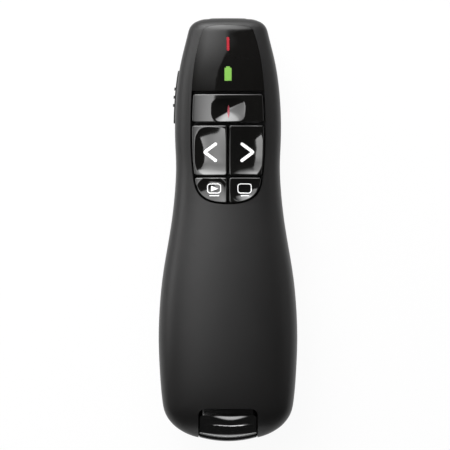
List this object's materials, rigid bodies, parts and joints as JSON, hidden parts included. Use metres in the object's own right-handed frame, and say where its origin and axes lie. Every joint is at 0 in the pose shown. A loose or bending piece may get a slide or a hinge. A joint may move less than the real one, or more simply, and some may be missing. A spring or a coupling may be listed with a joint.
{
  "type": "wireless presentation clicker",
  "caption": "Hand-held presentation remote with laser, arrow keys, side power slider, sliding battery door and a stowed USB receiver.",
  "frame": {"origin": "on the table, under the middle of the body's length and width", "axes": "+Z out of the button face, +Y towards the laser nose, +X to the right hand side; the body lies on its back"},
  "size_m": [0.0378, 0.1156, 0.0274],
  "materials": {
    "case_soft_black": "soft-touch, fine matt",
    "key_gloss_black": "high gloss",
    "panel_smoked": "smoked, high gloss",
    "receiver_gloss_black": "high gloss",
    "inner_black": "moulded, matt",
    "slider_black": "moulded, satin",
    "red_light": "lit red",
    "green_light": "lit green",
    "red_diode": "clear red resin",
    "green_diode": "clear green resin",
    "board_green": "solder mask",
    "chip_black": "moulded epoxy",
    "can_steel": "plated can",
    "switch_steel": "stamped cover",
    "plunger_black": "moulded",
    "screw_steel": "black nickel",
    "barrel_brass": "turned",
    "lens_glass": "clear",
    "cell_wrap": "shrink sleeve",
    "contact_steel": "nickel plate",
    "plug_steel": "stamped, nickel plate",
    "tongue_white": "moulded",
    "pin_gold": "gold flash"
  },
  "bodies": {
    "case": {"back_switch": "switch_steel", "battery_1": "cell_wrap", "battery_2": "cell_wrap", "battery_indicator": "green_light", "blank_screen_switch": "switch_steel", "board_screw_1": "screw_steel", "board_screw_2": "screw_steel", "bridge_contact": "contact_steel", "case_screw_1": "screw_steel", "case_screw_2": "screw_steel", "case_screw_3": "screw_steel", "case_screw_4": "screw_steel", "chassis": "inner_black", "contact_spring_1": "contact_steel", "contact_spring_2": "contact_steel", "crystal": "can_steel", "face_panel": "panel_smoked", "front_case": "case_soft_black", "green_led": "green_diode", "indicator_board": "board_green", "keypad_frame": "inner_black", "laser_barrel": "barrel_brass", "laser_diode": "can_steel", "laser_driver": "board_green", "laser_holder": "inner_black", "laser_indicator": "red_light", "laser_lens": "lens_glass", "laser_switch": "switch_steel", "main_board": "board_green", "minus_contact": "contact_steel", "next_switch": "switch_steel", "nose_window": "lens_glass", "plus_contact": "contact_steel", "radio_chip": "chip_black", "rear_case": "case_soft_black", "red_led": "red_diode", "slide_switch_body": "switch_steel", "slideshow_switch": "switch_steel"},
    "laser_button": {"laser_key": "key_gloss_black", "laser_plunger": "plunger_black"},
    "back_button": {"back_key": "key_gloss_black", "back_plunger": "plunger_black"},
    "next_button": {"next_key": "key_gloss_black", "next_plunger": "plunger_black"},
    "slideshow_button": {"slideshow_key": "key_gloss_black", "slideshow_plunger": "plunger_black"},
    "blank_screen_button": {"blank_screen_key": "key_gloss_black", "blank_screen_plunger": "plunger_black"},
    "slider": {"power_slider": "slider_black", "slide_switch_lever": "plunger_black"},
    "receiver": {"receiver_upper": "receiver_gloss_black", "receiver_lower": "receiver_gloss_black", "receiver_board": "board_green", "receiver_chip": "chip_black", "plug_shell": "plug_steel", "plug_tongue": "tongue_white", "plug_pins": "pin_gold"},
    "door": {"battery_door": "case_soft_black"}
  },
  "joints": [
    {"name": "laser_press", "type": "slide", "parent": "case", "child": "laser_button", "axis": [0, 0, -1], "range_m": [0, 0.0005], "stiffness_N_per_m": 1500},
    {"name": "back_press", "type": "slide", "parent": "case", "child": "back_button", "axis": [0, 0, -1], "range_m": [0, 0.0005], "stiffness_N_per_m": 1500},
    {"name": "next_press", "type": "slide", "parent": "case", "child": "next_button", "axis": [0, 0, -1], "range_m": [0, 0.0005], "stiffness_N_per_m": 1500},
    {"name": "slideshow_press", "type": "slide", "parent": "case", "child": "slideshow_button", "axis": [0, 0, -1], "range_m": [0, 0.0005], "stiffness_N_per_m": 1500},
    {"name": "blank_screen_press", "type": "slide", "parent": "case", "child": "blank_screen_button", "axis": [0, 0, -1], "range_m": [0, 0.0005], "stiffness_N_per_m": 1500},
    {"name": "power_slide", "type": "slide", "parent": "case", "child": "slider", "axis": [0, -1, 0], "range_m": [0, 0.002]},
    {"name": "receiver_pull", "type": "slide", "parent": "case", "child": "receiver", "axis": [0, -1, 0], "range_m": [0, 0.063]},
    {"name": "door_slide", "type": "slide", "parent": "case", "child": "door", "axis": [0, -0.9659, -0.2588], "range_m": [0, 0.06]}
  ]
}
